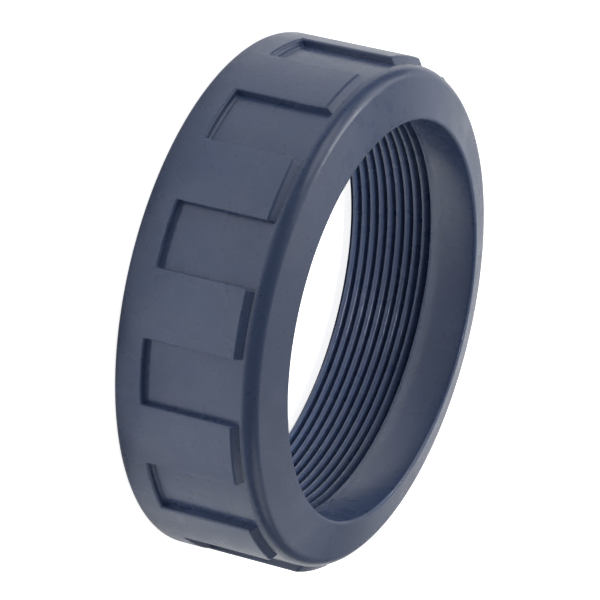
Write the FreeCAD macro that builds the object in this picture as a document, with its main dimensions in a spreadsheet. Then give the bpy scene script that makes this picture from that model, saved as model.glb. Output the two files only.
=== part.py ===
"""Union nut for a large plastic pipe coupling, moulded in one piece, as a parametric document.

The nut's axis is +Z. It stands on its back end at z = 0 with the front opening up, and the
origin is the centre of the back end. Lengths are in millimetres and angles in degrees.
The thread's crests are modelled as a plain wall.
"""
import FreeCAD, Part
import math
import os

import Sketcher

# Driving dimensions: name, value, what it measures.
DIMENSIONS = (
    ("nut_length", 36.6, "back end to the front opening's edge"),
    ("crest_dia", 97.37, "over the thread's crests, for a 3 1/2 inch pipe thread"),
    ("wall_thickness", 11.815, "thread's crests to the lug tops and the back band"),
    ("lug_height", 1.75, "lug top above the pocket floor"),
    ("lug_count", 12, "lugs round the nut, one pocket between each two"),
    ("pocket_angle", 14.8, "width of one pocket round the axis"),
    ("band_height", 7.0, "plain band behind the pockets"),
    ("wall_draft", 15.0, "lean of a pocket's back wall"),
    ("pocket_fillet", 1.2, "hollow corner between back wall and pocket floor"),
    ("lug_end_run", 1.2, "length over which a lug's front end slopes down"),
    ("lug_round", 0.5, "rounding of the lugs' upper edges"),
    ("back_chamfer", 1.0, "bevel of the back end's outer edge"),
    ("shoulder_round", 3.7, "rounding from the pocket floor to the front face"),
    ("face_angle", 15.2, "fall of the front face towards its rim"),
    ("seat_step", 1.935, "front bore's wall inside the thread's crests"),
    ("mouth_chamfer", 0.7, "bevel of the front opening's edge"),
    ("bore_length", 8.5, "front opening's edge to the seat"),
    ("seat_angle", 28.0, "half angle of the conical seat behind the bore"),
    ("lead_in_width", 5.065, "width of the lead-in at the back end, from the thread's crests"),
    ("lead_in_depth", 2.4, "depth of the lead-in cone"),
)
SIZE = {name: value for name, value, _ in DIMENSIONS}

# Radii that follow from them, each as its value and its expression.
CREST = (SIZE["crest_dia"] / 2, "Dimensions.crest_dia / 2")
OUTER = (CREST[0] + SIZE["wall_thickness"], CREST[1] + " + Dimensions.wall_thickness")
FLOOR = (OUTER[0] - SIZE["lug_height"], OUTER[1] + " - Dimensions.lug_height")
BORE = (CREST[0] - SIZE["seat_step"], CREST[1] + " - Dimensions.seat_step")
LEAD_IN = (CREST[0] + SIZE["lead_in_width"], CREST[1] + " + Dimensions.lead_in_width")

CUT_MARGIN = 1.0
NEAR = 0.001


def make_sheet(doc):
    """Spreadsheet of the driving dimensions, one row each."""
    sheet = doc.addObject("Spreadsheet::Sheet", "Dimensions")
    for row, (name, value, meaning) in enumerate(DIMENSIONS, start=1):
        sheet.set("A%d" % row, name)
        sheet.set("B%d" % row, str(value))
        sheet.set("C%d" % row, meaning)
        sheet.setAlias("B%d" % row, name)
    doc.recompute()
    return sheet


def new_sketch(body, name, label):
    """Sketch on the body's XZ plane: its X is the radius and its Y the height."""
    sketch = body.newObject("Sketcher::SketchObject", name)
    sketch.Label = label
    plane = next(f for f in body.Origin.OriginFeatures if f.Role == "XZ_Plane")
    sketch.AttachmentSupport = [(plane, "")]
    sketch.MapMode = "FlatFace"
    return sketch


def line(sketch, start, end):
    """Adds a line between two (radius, height) points."""
    first = FreeCAD.Vector(start[0], start[1], 0)
    last = FreeCAD.Vector(end[0], end[1], 0)
    return sketch.addGeometry(Part.LineSegment(first, last), False)


def arc(sketch, centre, radius, start_deg, end_deg):
    """Adds an arc that runs anticlockwise between two angles."""
    middle = FreeCAD.Vector(centre[0], centre[1], 0)
    circle = Part.Circle(middle, FreeCAD.Vector(0, 0, 1), radius)
    piece = Part.ArcOfCircle(circle, math.radians(start_deg), math.radians(end_deg))
    return sketch.addGeometry(piece, False)


def on_circle(centre, radius, angle_deg):
    """Point of a circle at an angle."""
    angle = math.radians(angle_deg)
    return (centre[0] + radius * math.cos(angle), centre[1] + radius * math.sin(angle))


def join(sketch, *pairs):
    """Makes the ends of geometry pieces coincide: each pair is (piece, end, piece, end)."""
    for pair in pairs:
        sketch.addConstraint(Sketcher.Constraint("Coincident", *pair))


def touch(sketch, *pairs):
    """Joins ends so that the two pieces run on smoothly."""
    for pair in pairs:
        sketch.addConstraint(Sketcher.Constraint("Tangent", *pair))


def hold(sketch, kind, *pieces):
    """Makes each piece upright or level."""
    for piece in pieces:
        sketch.addConstraint(Sketcher.Constraint(kind, piece))


def drive(sketch, name, constraint, expression):
    """Adds a named size constraint and binds it to the sheet."""
    index = sketch.addConstraint(constraint)
    sketch.renameConstraint(index, name)
    sketch.setExpression("Constraints." + name, expression)


def place(sketch, name, piece, end, radius=None, height=None):
    """Holds a point at a radius or a height, each given as its value and its expression."""
    if radius is not None:
        across = Sketcher.Constraint("DistanceX", -1, 1, piece, end, radius[0])
        drive(sketch, name + "_radius", across, radius[1])
    if height is not None:
        up = Sketcher.Constraint("DistanceY", -1, 1, piece, end, height[0])
        drive(sketch, name + "_height", up, height[1])


def draw_section(body):
    """Half section of the nut without its pockets, from the lead-in round to the seat."""
    sketch = new_sketch(body, "NutSection", "nut section")
    outer, floor, bore, crest, mouth = OUTER[0], FLOOR[0], BORE[0], CREST[0], LEAD_IN[0]
    top = SIZE["nut_length"]
    bevel = SIZE["mouth_chamfer"]
    shoulder_round = SIZE["shoulder_round"]
    fall = math.radians(SIZE["face_angle"])
    turn = 90 - SIZE["face_angle"]

    face_run = floor - shoulder_round - bore - bevel
    shoulder_height = top - face_run * math.tan(fall) - shoulder_round / math.cos(fall)
    shoulder_centre = (floor - shoulder_round, shoulder_height)
    face_start = on_circle(shoulder_centre, shoulder_round, turn)
    lug_end = (outer, shoulder_height - SIZE["lug_end_run"])
    bore_end = top - SIZE["bore_length"]
    seat_end = bore_end - (crest - bore) / math.tan(math.radians(SIZE["seat_angle"]))

    back = line(sketch, (mouth, 0), (outer - SIZE["back_chamfer"], 0))
    back_bevel = line(sketch, (outer - SIZE["back_chamfer"], 0), (outer, SIZE["back_chamfer"]))
    outside = line(sketch, (outer, SIZE["back_chamfer"]), lug_end)
    lug_slope = line(sketch, lug_end, (floor, shoulder_height))
    shoulder = arc(sketch, shoulder_centre, shoulder_round, 0, turn)
    face = line(sketch, face_start, (bore + bevel, top))
    mouth_bevel = line(sketch, (bore + bevel, top), (bore, top - bevel))
    bore_wall = line(sketch, (bore, top - bevel), (bore, bore_end))
    seat = line(sketch, (bore, bore_end), (crest, seat_end))
    crest_wall = line(sketch, (crest, seat_end), (crest, SIZE["lead_in_depth"]))
    lead_in = line(sketch, (crest, SIZE["lead_in_depth"]), (mouth, 0))

    join(sketch, (back, 2, back_bevel, 1), (back_bevel, 2, outside, 1))
    join(sketch, (outside, 2, lug_slope, 1), (lug_slope, 2, shoulder, 1))
    touch(sketch, (shoulder, 2, face, 1))
    join(sketch, (face, 2, mouth_bevel, 1), (mouth_bevel, 2, bore_wall, 1))
    join(sketch, (bore_wall, 2, seat, 1), (seat, 2, crest_wall, 1))
    join(sketch, (crest_wall, 2, lead_in, 1), (lead_in, 2, back, 1))
    hold(sketch, "Vertical", outside, bore_wall, crest_wall)
    hold(sketch, "Horizontal", back)
    sketch.addConstraint(Sketcher.Constraint("PointOnObject", back, 1, -1))
    sketch.addConstraint(Sketcher.Constraint("Horizontal", shoulder, 3, shoulder, 1))

    drive_outside(sketch, outside, lug_slope, shoulder, back_bevel)
    drive_inside(sketch, mouth_bevel, bore_wall, seat, crest_wall, lead_in)
    tilt = Sketcher.Constraint("Angle", face, math.radians(180) - fall)
    drive(sketch, "face_angle", tilt, "180 - Dimensions.face_angle")
    return sketch


def drive_outside(sketch, outside, lug_slope, shoulder, back_bevel):
    """Sizes of the band, the lugs' front ends and the shoulder."""
    bevel = SIZE["back_chamfer"]
    place(sketch, "outside", outside, 1, OUTER)
    place(sketch, "floor", shoulder, 1, FLOOR)
    across = Sketcher.Constraint("DistanceX", back_bevel, 1, back_bevel, 2, bevel)
    drive(sketch, "back_chamfer_width", across, "Dimensions.back_chamfer")
    up = Sketcher.Constraint("DistanceY", back_bevel, 1, back_bevel, 2, bevel)
    drive(sketch, "back_chamfer_height", up, "Dimensions.back_chamfer")
    run = Sketcher.Constraint("DistanceY", lug_slope, 1, lug_slope, 2, SIZE["lug_end_run"])
    drive(sketch, "lug_end_run", run, "Dimensions.lug_end_run")
    radius = Sketcher.Constraint("Radius", shoulder, SIZE["shoulder_round"])
    drive(sketch, "shoulder_round", radius, "Dimensions.shoulder_round")


def drive_inside(sketch, mouth_bevel, bore_wall, seat, crest_wall, lead_in):
    """Sizes of the front opening, the seat, the crests and the lead-in."""
    bevel = SIZE["mouth_chamfer"]
    front = (SIZE["nut_length"], "Dimensions.nut_length")
    bore_end = (SIZE["nut_length"] - SIZE["bore_length"], "Dimensions.nut_length - Dimensions.bore_length")
    lead_in_end = (SIZE["lead_in_depth"], "Dimensions.lead_in_depth")
    place(sketch, "front", mouth_bevel, 1, (BORE[0] + bevel, BORE[1] + " + Dimensions.mouth_chamfer"), front)
    up = Sketcher.Constraint("DistanceY", mouth_bevel, 2, mouth_bevel, 1, bevel)
    drive(sketch, "mouth_chamfer", up, "Dimensions.mouth_chamfer")
    place(sketch, "bore", bore_wall, 2, BORE, bore_end)
    place(sketch, "crest", crest_wall, 2, CREST, lead_in_end)
    place(sketch, "lead_in", lead_in, 2, LEAD_IN)
    slant = Sketcher.Constraint("Angle", seat, math.radians(SIZE["seat_angle"] - 90))
    drive(sketch, "seat_angle", slant, "Dimensions.seat_angle - 90")


def draw_pocket(body):
    """Section of one pocket, from its back wall to beyond the front face."""
    sketch = new_sketch(body, "PocketSection", "pocket section")
    outer, floor = OUTER[0], FLOOR[0]
    lean = math.radians(SIZE["wall_draft"])
    turn = 270 - SIZE["wall_draft"]
    beyond = outer + CUT_MARGIN
    rim = SIZE["band_height"] - CUT_MARGIN * math.tan(lean)
    hollow = floor + SIZE["pocket_fillet"]
    foot = SIZE["band_height"] + (outer - hollow) * math.tan(lean) + SIZE["pocket_fillet"] / math.cos(lean)
    front = SIZE["nut_length"] + CUT_MARGIN

    floor_line = line(sketch, (floor, front), (floor, foot))
    corner = arc(sketch, (hollow, foot), SIZE["pocket_fillet"], 180, turn)
    back_wall = line(sketch, on_circle((hollow, foot), SIZE["pocket_fillet"], turn), (beyond, rim))
    outside = line(sketch, (beyond, rim), (beyond, front))
    open_end = line(sketch, (beyond, front), (floor, front))

    touch(sketch, (floor_line, 2, corner, 1), (corner, 2, back_wall, 1))
    join(sketch, (back_wall, 2, outside, 1), (outside, 2, open_end, 1), (open_end, 2, floor_line, 1))
    hold(sketch, "Vertical", floor_line, outside)
    hold(sketch, "Horizontal", open_end)
    radius = Sketcher.Constraint("Radius", corner, SIZE["pocket_fillet"])
    drive(sketch, "pocket_fillet", radius, "Dimensions.pocket_fillet")
    drive(sketch, "wall_draft", Sketcher.Constraint("Angle", back_wall, -lean), "-Dimensions.wall_draft")
    place(sketch, "floor", floor_line, 1, FLOOR, (front, "Dimensions.nut_length + %g" % CUT_MARGIN))
    place(sketch, "rim", outside, 1, (beyond, OUTER[1] + " + %g" % CUT_MARGIN),
          (rim, "Dimensions.band_height - %g * tan(Dimensions.wall_draft * 1deg)" % CUT_MARGIN))
    return sketch


def turn_blank(body, section):
    """Turns the section round the nut's axis."""
    blank = body.newObject("PartDesign::Revolution", "Blank")
    blank.Label = "turned blank"
    blank.Profile = section
    blank.ReferenceAxis = (section, ["V_Axis"])
    blank.Angle = 360
    return blank


def cut_pocket(body, section):
    """Sweeps the pocket's section round the axis over the width of one pocket."""
    pocket = body.newObject("PartDesign::Groove", "Pocket")
    pocket.Label = "grip pocket"
    pocket.Profile = section
    pocket.ReferenceAxis = (section, ["V_Axis"])
    pocket.Midplane = True
    pocket.setExpression("Angle", "Dimensions.pocket_angle")
    return pocket


def repeat_pocket(body, pocket):
    """Repeats the pocket evenly round the axis, which leaves the lugs standing."""
    pattern = body.newObject("PartDesign::PolarPattern", "Pockets")
    pattern.Label = "ring of pockets"
    pattern.Originals = [pocket]
    axis = next(f for f in body.Origin.OriginFeatures if f.Role == "Z_Axis")
    pattern.Axis = (axis, [""])
    pattern.Angle = 360
    pattern.setExpression("Occurrences", "Dimensions.lug_count")
    body.Tip = pattern
    return pattern


def lug_edges(shape):
    """Names of the lugs' upper edges, along their sides and across their front ends."""
    outer = OUTER[0]
    front = max(v.Z for v in shape.Vertexes if abs(math.hypot(v.X, v.Y) - outer) < NEAR)
    names = []
    for number, edge in enumerate(shape.Edges, start=1):
        heights = [v.Z for v in edge.Vertexes]
        on_top = all(abs(math.hypot(v.X, v.Y) - outer) < NEAR for v in edge.Vertexes)
        in_front_of_band = min(heights) > SIZE["band_height"] - NEAR
        if on_top and in_front_of_band and max(heights) > front - NEAR:
            names.append("Edge%d" % number)
    return names


def round_lugs(body, pattern):
    """Rounds the lugs' upper edges."""
    rounding = body.newObject("PartDesign::Fillet", "LugRounding")
    rounding.Label = "lug edge rounding"
    rounding.Base = (pattern, lug_edges(pattern.Shape))
    rounding.setExpression("Radius", "Dimensions.lug_round")
    body.Tip = rounding
    return rounding


def check(doc):
    """Stops the build if any object has an error or no sound shape."""
    for item in doc.Objects:
        if "Invalid" in item.State or "Error" in item.State:
            raise RuntimeError("%s could not be built" % item.Label)
        if not hasattr(item, "Shape") or item.TypeId.startswith("App::"):
            continue
        if item.Shape.isNull() or not item.Shape.isValid():
            raise RuntimeError("%s has no sound shape" % item.Label)


def build():
    """Builds the nut and writes its file."""
    doc = FreeCAD.newDocument("union_nut")
    make_sheet(doc)
    body = doc.addObject("PartDesign::Body", "UnionNut")
    body.Label = "union_nut"
    body.Placement = FreeCAD.Placement()

    turn_blank(body, draw_section(body))
    doc.recompute()
    pocket = cut_pocket(body, draw_pocket(body))
    doc.recompute()
    pattern = repeat_pocket(body, pocket)
    doc.recompute()
    round_lugs(body, pattern)
    doc.recompute()
    check(doc)

    if len(body.Shape.Solids) != 1:
        raise RuntimeError("the nut is not one solid")
    os.makedirs("parts", exist_ok=True)
    body.Shape.exportStep("parts/%s.step" % body.Label)


build()
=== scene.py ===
"""Looks of the union nut: the moulded ring with its grip pockets and thread, its plastic, and the studio.

The nut stands on its back end, with its axis along +Z and the middle of a grip pocket on +X.
Lengths are in metres. Sections are drawn as (radius, height) points in the XZ plane.
"""
import math

import bmesh
import bpy
from mathutils import Matrix, Vector


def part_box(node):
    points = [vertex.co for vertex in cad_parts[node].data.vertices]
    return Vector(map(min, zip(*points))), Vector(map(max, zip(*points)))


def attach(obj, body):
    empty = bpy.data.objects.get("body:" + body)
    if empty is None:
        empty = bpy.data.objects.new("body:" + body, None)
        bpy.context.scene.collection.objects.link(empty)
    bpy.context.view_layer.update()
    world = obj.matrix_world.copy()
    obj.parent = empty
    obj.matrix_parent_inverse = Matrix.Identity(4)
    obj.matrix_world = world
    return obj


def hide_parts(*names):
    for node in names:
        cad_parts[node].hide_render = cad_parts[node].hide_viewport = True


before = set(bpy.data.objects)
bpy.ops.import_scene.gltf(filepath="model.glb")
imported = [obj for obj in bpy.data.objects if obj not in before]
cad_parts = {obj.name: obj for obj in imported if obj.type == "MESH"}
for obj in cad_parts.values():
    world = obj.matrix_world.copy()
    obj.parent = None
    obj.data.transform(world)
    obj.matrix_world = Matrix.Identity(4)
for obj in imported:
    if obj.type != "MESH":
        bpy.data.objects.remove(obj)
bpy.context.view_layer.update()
nut_low, nut_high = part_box("union_nut")

MM = 0.001

# Outside of the nut.
OUTER_RADIUS = nut_high.x
LENGTH = nut_high.z - nut_low.z
LUGS = 12
LUG_HEIGHT = 1.75 * MM
POCKET_FLOOR_RADIUS = OUTER_RADIUS - LUG_HEIGHT
POCKET_DEGREES = 14.8
LUG_DEGREES = 360 / LUGS - POCKET_DEGREES
BAND_HEIGHT = 7.0 * MM
WALL_DRAFT_DEGREES = 15
POCKET_FILLET = 1.2 * MM
LUG_END_RUN = 1.2 * MM
BACK_ROUND = 1.1 * MM
SHOULDER_ROUND = 3.7 * MM
FACE_FALL_DEGREES = 15.2
EDGE_ROUND = 0.45 * MM

# Inside of the nut.
CREST_RADIUS = 48.685 * MM
BORE_RADIUS = CREST_RADIUS - 1.935 * MM
MOUTH_ROUND = 0.7 * MM
BORE_LENGTH = 8.5 * MM
SEAT_DEGREES = 28
LEAD_IN_RADIUS = CREST_RADIUS + 5.065 * MM
LEAD_IN_DEPTH = 2.4 * MM

# Thread, right-handed. The groove's width is measured between its flanks, at the crests.
PITCH = 2.309 * MM
GROOVE_WIDTH = 1.45 * MM
FLANK_DEGREES = 27.5
CREST_ROUND = 0.4 * MM
ROOT_ROUND = 0.04 * MM
GROOVE_OVERCUT = 0.3 * MM
TOP_GROOVE_HEIGHT = 24.0 * MM
TURNS = 12
THREAD_STEPS = 240
RUN_OUT_DEGREES = 40
RUN_OUT_DEPTH = 1.6 * MM

# Mesh: steps round each bend and across each lug and pocket, and the angles that tell edges from curves.
ROUND_STEPS = 5
SHOULDER_STEPS = 10
CREST_STEPS = 3
ROOT_STEPS = 4
EDGE_STEPS = 3
STRIP_STEPS = 10
LUG_EDGE_DEGREES = 25
SHADED_EDGE_DEGREES = 40
SAME_POINT = 0.002 * MM

# Plastic. Colours are linear, and the sizes are those of the blots of each noise. Colour and gloss follow
# the noise between its low and its high.
DARK_PVC = (0.050, 0.078, 0.160, 1)
LIGHT_PVC = (0.058, 0.091, 0.190, 1)
NOISE_LOW = 0.3
NOISE_HIGH = 0.7
CLOUD_SIZE = 22 * MM
CLOUD_DETAIL = 3
GLOSS_PATCH_SIZE = 6 * MM
GLOSS_PATCH_DETAIL = 4
SMOOTH = 0.24
ROUGH = 0.33
SWELL_SIZE = 9 * MM
SWELL_HEIGHT = 0.04 * MM
GRAIN_SIZE = 0.8 * MM
GRAIN_HEIGHT = 0.004 * MM
RELIEF_DETAIL = 1

# Camera: where it stands round the nut, above it and how far, and its turn about the view.
CAMERA_AZIMUTH_DEGREES = 7.4
CAMERA_ELEVATION_DEGREES = 24.843
CAMERA_ROLL_DEGREES = 103.459
CAMERA_DISTANCE = 957.84 * MM
CAMERA_AIM = Vector((1.53, -0.07, 15.04)) * MM
LENS_MM = 249.9
SENSOR_MM = 36
FARTHEST_SEEN = 10

# Softboxes round the nut. Each has its azimuth from the camera's, its elevation, its size and its watts.
SOFTBOX_DISTANCE = 1.1
SOFTBOXES = (
    ("key", -138, 50, 0.27, 1.4),
    ("far_low_left", -155, 15, 0.55, 0.68),
    ("far_low", -180, 15, 0.55, 0.34),
    ("left", -80, 38, 0.55, 2.0),
    ("back_left", -130, 38, 0.55, 1.49),
    ("back_right", 155, 38, 0.55, 0.82),
    ("right", 105, 38, 0.55, 0.92),
    ("high_left", -90, 60, 0.55, 0.76),
    ("high_far_left", -150, 60, 0.55, 0.61),
    ("high_far", -180, 60, 0.55, 0.65),
)

# Spots. A patch of light is given by its reach from the nut's axis, its lamp's elevation, its width, the
# lamp's radius and the share of the patch that fades. A spot has its patch's azimuth from the camera's and
# its watts.
SPOT_DISTANCE = 1.2
THREAD_PATCH = (0.0385, 76, 0.034, 0.008, 0.5)
THREAD_SPOTS = (
    ("thread_left_spot", -122, 42),
    ("thread_far_left_spot", -151, 42),
    ("thread_far_spot", 180, 42),
    ("thread_far_right_spot", 151, 42),
    ("thread_right_spot", 122, 42),
)
FLOOR_PATCH = (0.125, 90, 0.13, 0.002, 0.1)
FLOOR_SPOTS = (
    ("floor_left_spot", -60, 15),
    ("floor_near_left_spot", -30, 14),
    ("floor_spot", 0, 28),
    ("floor_near_right_spot", 30, 29),
    ("floor_right_spot", 60, 28),
)

# Floor and room. The lifts are the floor's own light, as the camera and as reflections see it.
FLOOR_SIZE = 6
WHITE = (1, 1, 1, 1)
PAPER_WHITE = (0.8, 0.8, 0.8, 1)
FLOOR_LIFT = 0.88
FLOOR_LIFT_IN_GLOSS = 0.44
ROOM_LIGHT = 0.17


def deselect_objects():
    """Leaves nothing selected, also none of the nodes that came with the frame."""
    bpy.ops.object.select_all(action="DESELECT")


def select_only(piece):
    """Selects the piece and nothing else."""
    deselect_objects()
    bpy.context.view_layer.objects.active = piece
    piece.select_set(True)


def spin(steps, degrees, centre, axis, copies=False):
    """Spins what is selected about the axis by the right-hand rule. The operator turns the other way."""
    bpy.ops.mesh.spin(steps=steps, angle=-math.radians(degrees), dupli=copies, center=centre, axis=axis)


def polar(point):
    """(radius, height) of a point."""
    return math.hypot(point.x, point.y), point.z


def around(centre, radius, degrees):
    """Point of a circle in the section's plane."""
    angle = math.radians(degrees)
    return (centre[0] + radius * math.cos(angle), centre[1] + radius * math.sin(angle))


def start_outline(name, point):
    """Starts an outline: a plane merged into the one vertex that gets drawn out."""
    deselect_objects()
    bpy.ops.mesh.primitive_plane_add(size=MM, location=(0, 0, 0))
    piece = bpy.context.object
    piece.name = name
    bpy.ops.object.mode_set(mode="EDIT")
    bpy.ops.mesh.merge(type="CENTER")
    bpy.ops.transform.translate(value=(point[0], 0, point[1]))
    return piece


def draw_outline(name, path):
    """Draws a closed outline. A path holds points, and arcs as (centre, degrees to turn, steps)."""
    pen = path[0]
    piece = start_outline(name, pen)
    for item in path[1:]:
        if len(item) == 2:
            bpy.ops.mesh.extrude_region_move(
                TRANSFORM_OT_translate={"value": (item[0] - pen[0], 0, item[1] - pen[1])})
            pen = item
            continue
        centre, degrees, steps = item
        spin(steps, degrees, (centre[0], 0, centre[1]), (0, -1, 0))
        radius = math.dist(pen, centre)
        start = math.degrees(math.atan2(pen[1] - centre[1], pen[0] - centre[0]))
        pen = around(centre, radius, start + degrees)
    bpy.ops.mesh.select_all(action="SELECT")
    bpy.ops.mesh.remove_doubles(threshold=SAME_POINT)
    close_outline(piece)
    return piece


def close_outline(piece):
    """Joins the outline's two loose ends and selects all of it."""
    bpy.ops.mesh.select_all(action="DESELECT")
    mesh = bmesh.from_edit_mesh(piece.data)
    for vertex in mesh.verts:
        if len(vertex.link_edges) == 1:
            vertex.select_set(True)
    bmesh.update_edit_mesh(piece.data)
    bpy.ops.mesh.edge_face_add()
    bpy.ops.mesh.select_all(action="SELECT")


def round_centres():
    """Centres of the shoulder's round and of the front opening's, with the face's fall between them."""
    fall = math.radians(FACE_FALL_DEGREES)
    rise = 1 / math.cos(fall)
    mouth_centre = (BORE_RADIUS + MOUTH_ROUND, LENGTH - MOUTH_ROUND)
    across = POCKET_FLOOR_RADIUS - SHOULDER_ROUND - mouth_centre[0]
    drop = across * math.tan(fall) + (SHOULDER_ROUND - MOUTH_ROUND) * rise
    return (POCKET_FLOOR_RADIUS - SHOULDER_ROUND, mouth_centre[1] - drop), mouth_centre


def inside_path(mouth_centre):
    """Bore, seat, crests and lead-in, from the front opening's round down to the back end."""
    bore_end = LENGTH - BORE_LENGTH
    seat_end = bore_end - (CREST_RADIUS - BORE_RADIUS) / math.tan(math.radians(SEAT_DEGREES))
    return [(mouth_centre, 90 + FACE_FALL_DEGREES, ROUND_STEPS), (BORE_RADIUS, bore_end),
            (CREST_RADIUS, seat_end), (CREST_RADIUS, LEAD_IN_DEPTH)]


def front_path(shoulder_centre, mouth_centre):
    """Shoulder's round and front face, from the pocket floor's height to the front opening."""
    turn = 90 - FACE_FALL_DEGREES
    return [(POCKET_FLOOR_RADIUS, shoulder_centre[1]), (shoulder_centre, turn, SHOULDER_STEPS),
            around(mouth_centre, MOUTH_ROUND, turn)]


def back_path():
    """Flat back end and the round of its outer edge."""
    centre = (OUTER_RADIUS - BACK_ROUND, BACK_ROUND)
    return [(LEAD_IN_RADIUS, 0), (centre[0], 0), (centre, 90, ROUND_STEPS), (OUTER_RADIUS, BAND_HEIGHT)]


def lug_path():
    """Section through a lug."""
    shoulder_centre, mouth_centre = round_centres()
    lug = [(OUTER_RADIUS, shoulder_centre[1] - LUG_END_RUN)]
    return back_path() + lug + front_path(shoulder_centre, mouth_centre) + inside_path(mouth_centre)


def pocket_path():
    """Section through a pocket: leaning back wall, hollow foot and floor."""
    shoulder_centre, mouth_centre = round_centres()
    lean = math.radians(WALL_DRAFT_DEGREES)
    hollow = POCKET_FLOOR_RADIUS + POCKET_FILLET
    foot = BAND_HEIGHT + (OUTER_RADIUS - hollow) * math.tan(lean) + POCKET_FILLET / math.cos(lean)
    wall_end = around((hollow, foot), POCKET_FILLET, 270 - WALL_DRAFT_DEGREES)
    pocket = [wall_end, ((hollow, foot), WALL_DRAFT_DEGREES - 90, ROUND_STEPS)]
    return back_path() + pocket + front_path(shoulder_centre, mouth_centre) + inside_path(mouth_centre)


def spin_strip(name, path, start_degrees, degrees):
    """Spins a section round the axis through the width of one lug or one pocket."""
    strip = draw_outline(name, path)
    spin(STRIP_STEPS, degrees, (0, 0, 0), (0, 0, 1))
    bpy.ops.object.mode_set(mode="OBJECT")
    strip.rotation_euler.z = math.radians(start_degrees)
    bpy.ops.object.transform_apply(rotation=True)
    return strip


def make_ring():
    """Lug and pocket side by side, repeated round the axis, with the pockets' side walls filled in."""
    pocket = spin_strip("pocket_strip", pocket_path(), -POCKET_DEGREES / 2, POCKET_DEGREES)
    ring = spin_strip("union_nut_moulding", lug_path(), POCKET_DEGREES / 2, LUG_DEGREES)
    pocket.select_set(True)
    bpy.ops.object.join()
    bpy.ops.object.mode_set(mode="EDIT")
    bpy.ops.mesh.select_all(action="SELECT")
    spin(LUGS - 1, 360 - 360 / LUGS, (0, 0, 0), (0, 0, 1), copies=True)
    bpy.ops.mesh.select_all(action="SELECT")
    bpy.ops.mesh.remove_doubles(threshold=SAME_POINT)
    bpy.ops.mesh.fill_holes(sides=0)
    bpy.ops.mesh.select_all(action="SELECT")
    bpy.ops.mesh.normals_make_consistent(inside=False)
    round_lug_edges(ring)
    bpy.ops.object.mode_set(mode="OBJECT")
    return ring


def is_lug_edge(edge):
    """True for the edges round a lug's top and down its front slope, and for a pocket's back rim."""
    (radius_a, height_a), (radius_b, height_b) = (polar(vertex.co) for vertex in edge.verts)
    above_band = min(height_a, height_b) > BAND_HEIGHT - SAME_POINT
    on_top = max(radius_a, radius_b) > OUTER_RADIUS - SAME_POINT
    return above_band and on_top and edge.calc_face_angle(0) > math.radians(LUG_EDGE_DEGREES)


def round_lug_edges(ring):
    """Rounds the lugs' edges and the rims of the pockets' back walls."""
    bpy.ops.mesh.select_all(action="DESELECT")
    bpy.ops.mesh.select_mode(type="EDGE")
    mesh = bmesh.from_edit_mesh(ring.data)
    for edge in mesh.edges:
        if is_lug_edge(edge):
            edge.select_set(True)
    bmesh.update_edit_mesh(ring.data)
    bpy.ops.mesh.bevel(offset=EDGE_ROUND, segments=EDGE_STEPS, affect="EDGES", clamp_overlap=False)
    bpy.ops.mesh.select_mode(type="VERT")
    bpy.ops.mesh.select_all(action="SELECT")
    bpy.ops.mesh.remove_doubles(threshold=SAME_POINT)


def groove_path(height):
    """Section of the thread's groove at a height: rounded mouth, straight flanks and rounded root."""
    lean = math.radians(FLANK_DEGREES)
    turn = 90 - FLANK_DEGREES
    corner = CREST_ROUND * math.tan(math.radians(turn) / 2)
    mouth = GROOVE_WIDTH / 2 + corner
    inside = CREST_RADIUS - GROOVE_OVERCUT
    crest_radius = CREST_RADIUS + CREST_ROUND
    root_radius = CREST_RADIUS + GROOVE_WIDTH / 2 / math.tan(lean) - ROOT_ROUND / math.sin(lean)
    return [(inside, height - mouth), (CREST_RADIUS, height - mouth),
            ((crest_radius, height - mouth), -turn, CREST_STEPS),
            around((root_radius, height), ROOT_ROUND, FLANK_DEGREES - 90),
            ((root_radius, height), 2 * turn, ROOT_STEPS),
            around((crest_radius, height + mouth), CREST_ROUND, 180 + turn),
            ((crest_radius, height + mouth), -turn, CREST_STEPS),
            (inside, height + mouth)]


def run_out(cutter, low):
    """Draws the winding's last stretch in towards the axis, so that the groove gets shallower to its end."""
    stretch = math.radians(RUN_OUT_DEGREES)
    for vertex in cutter.data.vertices:
        radius, height = polar(vertex.co)
        to_end = -math.atan2(vertex.co.y, vertex.co.x) % math.tau
        turns_done = (height - low) / PITCH
        # The sum is the whole turns at the end of the vertex's own turn, give or take half a groove.
        on_top_turn = turns_done + to_end / math.tau > TURNS - 0.5
        if on_top_turn and to_end <= stretch:
            smaller = 1 - (1 - to_end / stretch) * RUN_OUT_DEPTH / radius
            vertex.co.x *= smaller
            vertex.co.y *= smaller


def make_thread_cutter():
    """The groove's section wound round the axis from below the back end, with a shallow upper end."""
    low = TOP_GROOVE_HEIGHT - TURNS * PITCH
    cutter = draw_outline("thread_cutter", groove_path(low))
    bpy.ops.object.mode_set(mode="OBJECT")
    wind = cutter.modifiers.new("wind", "SCREW")
    wind.axis = "Z"
    wind.angle = math.radians(360)
    wind.screw_offset = PITCH
    wind.iterations = TURNS
    wind.steps = THREAD_STEPS
    wind.render_steps = THREAD_STEPS
    wind.use_merge_vertices = True
    bpy.ops.object.modifier_apply(modifier=wind.name)
    run_out(cutter, low)
    bpy.ops.object.mode_set(mode="EDIT")
    bpy.ops.mesh.select_all(action="SELECT")
    bpy.ops.mesh.remove_doubles(threshold=SAME_POINT)
    bpy.ops.mesh.fill_holes(sides=0)
    bpy.ops.mesh.select_all(action="SELECT")
    bpy.ops.mesh.normals_make_consistent(inside=False)
    bpy.ops.object.mode_set(mode="OBJECT")
    return cutter


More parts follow.
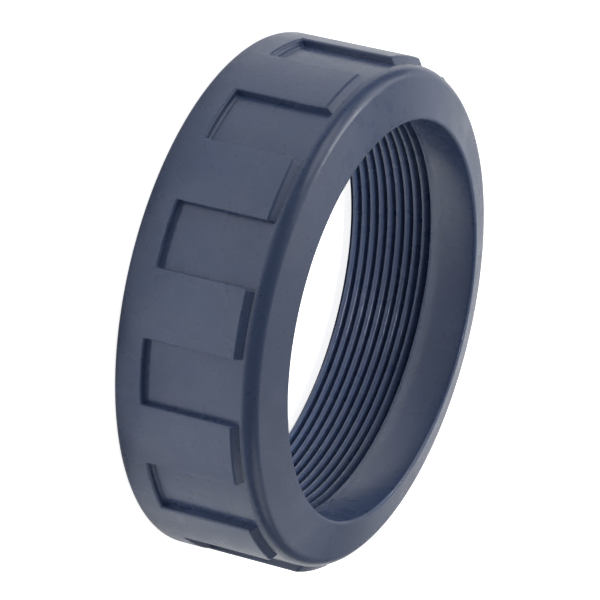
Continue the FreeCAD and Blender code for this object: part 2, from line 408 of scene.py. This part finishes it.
def cut_thread(ring):
    """Cuts the thread's groove into the crests' wall and takes the cutter away."""
    cutter = make_thread_cutter()
    select_only(ring)
    cut = ring.modifiers.new("thread", "BOOLEAN")
    cut.operation = "DIFFERENCE"
    cut.solver = "EXACT"
    cut.object = cutter
    bpy.ops.object.modifier_apply(modifier=cut.name)
    bpy.data.objects.remove(cutter)


def shade(ring):
    """Smooth shading over the rounds, with the large faces kept even."""
    select_only(ring)
    bpy.ops.object.shade_smooth_by_angle(angle=math.radians(SHADED_EDGE_DEGREES))
    even = ring.modifiers.new("even", "WEIGHTED_NORMAL")
    even.keep_sharp = True
    bpy.ops.object.modifier_apply(modifier=even.name)


def add_noise(tree, place, size, detail):
    """Noise in the nut's own coordinates, with blots of about the size."""
    noise = tree.nodes.new("ShaderNodeTexNoise")
    noise.inputs["Scale"].default_value = 1 / size
    noise.inputs["Detail"].default_value = detail
    tree.links.new(place.outputs["Object"], noise.inputs["Vector"])
    return noise


def add_bump(tree, noise, height, below=None):
    """Bump whose relief has the height, on top of another bump."""
    bump = tree.nodes.new("ShaderNodeBump")
    bump.inputs["Distance"].default_value = height
    tree.links.new(noise.outputs["Fac"], bump.inputs["Height"])
    if below:
        tree.links.new(below.outputs["Normal"], bump.inputs["Normal"])
    return bump


def pvc():
    """Satin slate-blue moulded plastic: clouded colour, uneven gloss, soft swells and a fine grain."""
    material = bpy.data.materials.new("slate_blue_pvc")
    material.use_nodes = True
    tree = material.node_tree
    surface = tree.nodes["Principled BSDF"]
    place = tree.nodes.new("ShaderNodeTexCoord")

    clouds = add_noise(tree, place, CLOUD_SIZE, CLOUD_DETAIL)
    colour = tree.nodes.new("ShaderNodeValToRGB")
    colour.color_ramp.elements[0].position = NOISE_LOW
    colour.color_ramp.elements[0].color = DARK_PVC
    colour.color_ramp.elements[1].position = NOISE_HIGH
    colour.color_ramp.elements[1].color = LIGHT_PVC
    tree.links.new(clouds.outputs["Fac"], colour.inputs["Fac"])
    tree.links.new(colour.outputs["Color"], surface.inputs["Base Color"])

    patches = add_noise(tree, place, GLOSS_PATCH_SIZE, GLOSS_PATCH_DETAIL)
    roughness = tree.nodes.new("ShaderNodeMapRange")
    roughness.inputs["From Min"].default_value = NOISE_LOW
    roughness.inputs["From Max"].default_value = NOISE_HIGH
    roughness.inputs["To Min"].default_value = SMOOTH
    roughness.inputs["To Max"].default_value = ROUGH
    tree.links.new(patches.outputs["Fac"], roughness.inputs["Value"])
    tree.links.new(roughness.outputs["Result"], surface.inputs["Roughness"])

    swells = add_bump(tree, add_noise(tree, place, SWELL_SIZE, RELIEF_DETAIL), SWELL_HEIGHT)
    grain = add_bump(tree, add_noise(tree, place, GRAIN_SIZE, RELIEF_DETAIL), GRAIN_HEIGHT, swells)
    tree.links.new(grain.outputs["Normal"], surface.inputs["Normal"])
    return material


def direction(azimuth_degrees, elevation_degrees):
    """Unit vector by its azimuth from +X and its elevation above the floor."""
    azimuth = math.radians(azimuth_degrees)
    elevation = math.radians(elevation_degrees)
    level = math.cos(elevation)
    return Vector((level * math.cos(azimuth), level * math.sin(azimuth), math.sin(elevation)))


def add_camera():
    """Camera at the photograph's viewing angle, rolled so that the nut's axis runs across the picture."""
    away = direction(CAMERA_AZIMUTH_DEGREES, CAMERA_ELEVATION_DEGREES)
    level = away.to_track_quat("Z", "Y").to_matrix()
    place = (level @ Matrix.Rotation(math.radians(CAMERA_ROLL_DEGREES), 3, "Z")).to_4x4()
    place.translation = CAMERA_AIM + away * CAMERA_DISTANCE
    data = bpy.data.cameras.new("camera")
    data.lens = LENS_MM
    data.sensor_width = SENSOR_MM
    data.clip_end = FARTHEST_SEEN
    camera = bpy.data.objects.new("camera", data)
    camera.matrix_world = place
    bpy.context.collection.objects.link(camera)
    bpy.context.scene.camera = camera


def add_softbox(name, from_camera_degrees, elevation_degrees, size, watts):
    """Square lamp that faces the nut."""
    away = direction(CAMERA_AZIMUTH_DEGREES + from_camera_degrees, elevation_degrees)
    data = bpy.data.lights.new(name, "AREA")
    data.energy = watts
    data.size = size
    lamp = bpy.data.objects.new(name, data)
    lamp.location = Vector((0, 0, LENGTH / 2)) + away * SOFTBOX_DISTANCE
    lamp.rotation_euler = away.to_track_quat("Z", "Y").to_euler()
    bpy.context.collection.objects.link(lamp)


def add_spot(name, from_camera_degrees, watts, patch):
    """Spot that shines down on the floor beside the nut, or through the front opening on the thread."""
    reach, elevation_degrees, width, radius, fade = patch
    side = CAMERA_AZIMUTH_DEGREES + from_camera_degrees
    target = direction(side, 0) * reach
    away = direction(side + 180, elevation_degrees)
    data = bpy.data.lights.new(name, "SPOT")
    data.energy = watts
    data.spot_size = 2 * math.atan(width / 2 / SPOT_DISTANCE)
    data.spot_blend = fade
    data.shadow_soft_size = radius
    lamp = bpy.data.objects.new(name, data)
    lamp.location = target + away * SPOT_DISTANCE
    lamp.rotation_euler = away.to_track_quat("Z", "Y").to_euler()
    bpy.context.collection.objects.link(lamp)


def floor_material():
    """Matt white paper, lifted to white where the camera sees it, and half as much in reflections."""
    material = bpy.data.materials.new("white_paper")
    material.use_nodes = True
    tree = material.node_tree
    paper = tree.nodes["Principled BSDF"]
    paper.inputs["Base Color"].default_value = PAPER_WHITE
    paper.inputs["Roughness"].default_value = 1
    paper.inputs["Emission Color"].default_value = WHITE
    rays = tree.nodes.new("ShaderNodeLightPath")
    straight = tree.nodes.new("ShaderNodeMath")
    straight.operation = "MULTIPLY"
    straight.inputs[1].default_value = FLOOR_LIFT
    lift = tree.nodes.new("ShaderNodeMath")
    lift.operation = "MULTIPLY_ADD"
    lift.inputs[1].default_value = FLOOR_LIFT_IN_GLOSS
    tree.links.new(rays.outputs["Is Camera Ray"], straight.inputs[0])
    tree.links.new(rays.outputs["Is Glossy Ray"], lift.inputs[0])
    tree.links.new(straight.outputs[0], lift.inputs[2])
    tree.links.new(lift.outputs[0], paper.inputs["Emission Strength"])
    return material


def add_floor():
    """Plain pale floor that the nut stands on."""
    deselect_objects()
    bpy.ops.mesh.primitive_plane_add(size=FLOOR_SIZE, location=(0, 0, 0))
    floor = bpy.context.object
    floor.name = "floor"
    floor.data.materials.append(floor_material())


def set_world():
    """Dim room round the nut, which the camera sees as white."""
    world = bpy.data.worlds.new("studio")
    world.use_nodes = True
    tree = world.node_tree
    room = tree.nodes["Background"]
    room.inputs["Color"].default_value = WHITE
    rays = tree.nodes.new("ShaderNodeLightPath")
    seen = tree.nodes.new("ShaderNodeMath")
    seen.operation = "MAXIMUM"
    seen.inputs[1].default_value = ROOM_LIGHT
    tree.links.new(rays.outputs["Is Camera Ray"], seen.inputs[0])
    tree.links.new(seen.outputs[0], room.inputs["Strength"])
    bpy.context.scene.world = world


bpy.context.scene.view_settings.view_transform = "Standard"
nut = make_ring()
cut_thread(nut)
shade(nut)
nut.data.materials.clear()
nut.data.materials.append(pvc())
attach(nut, "root")
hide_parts("union_nut")
add_camera()
for softbox in SOFTBOXES:
    add_softbox(*softbox)
for spot in THREAD_SPOTS:
    add_spot(*spot, THREAD_PATCH)
for spot in FLOOR_SPOTS:
    add_spot(*spot, FLOOR_PATCH)
add_floor()
set_world()
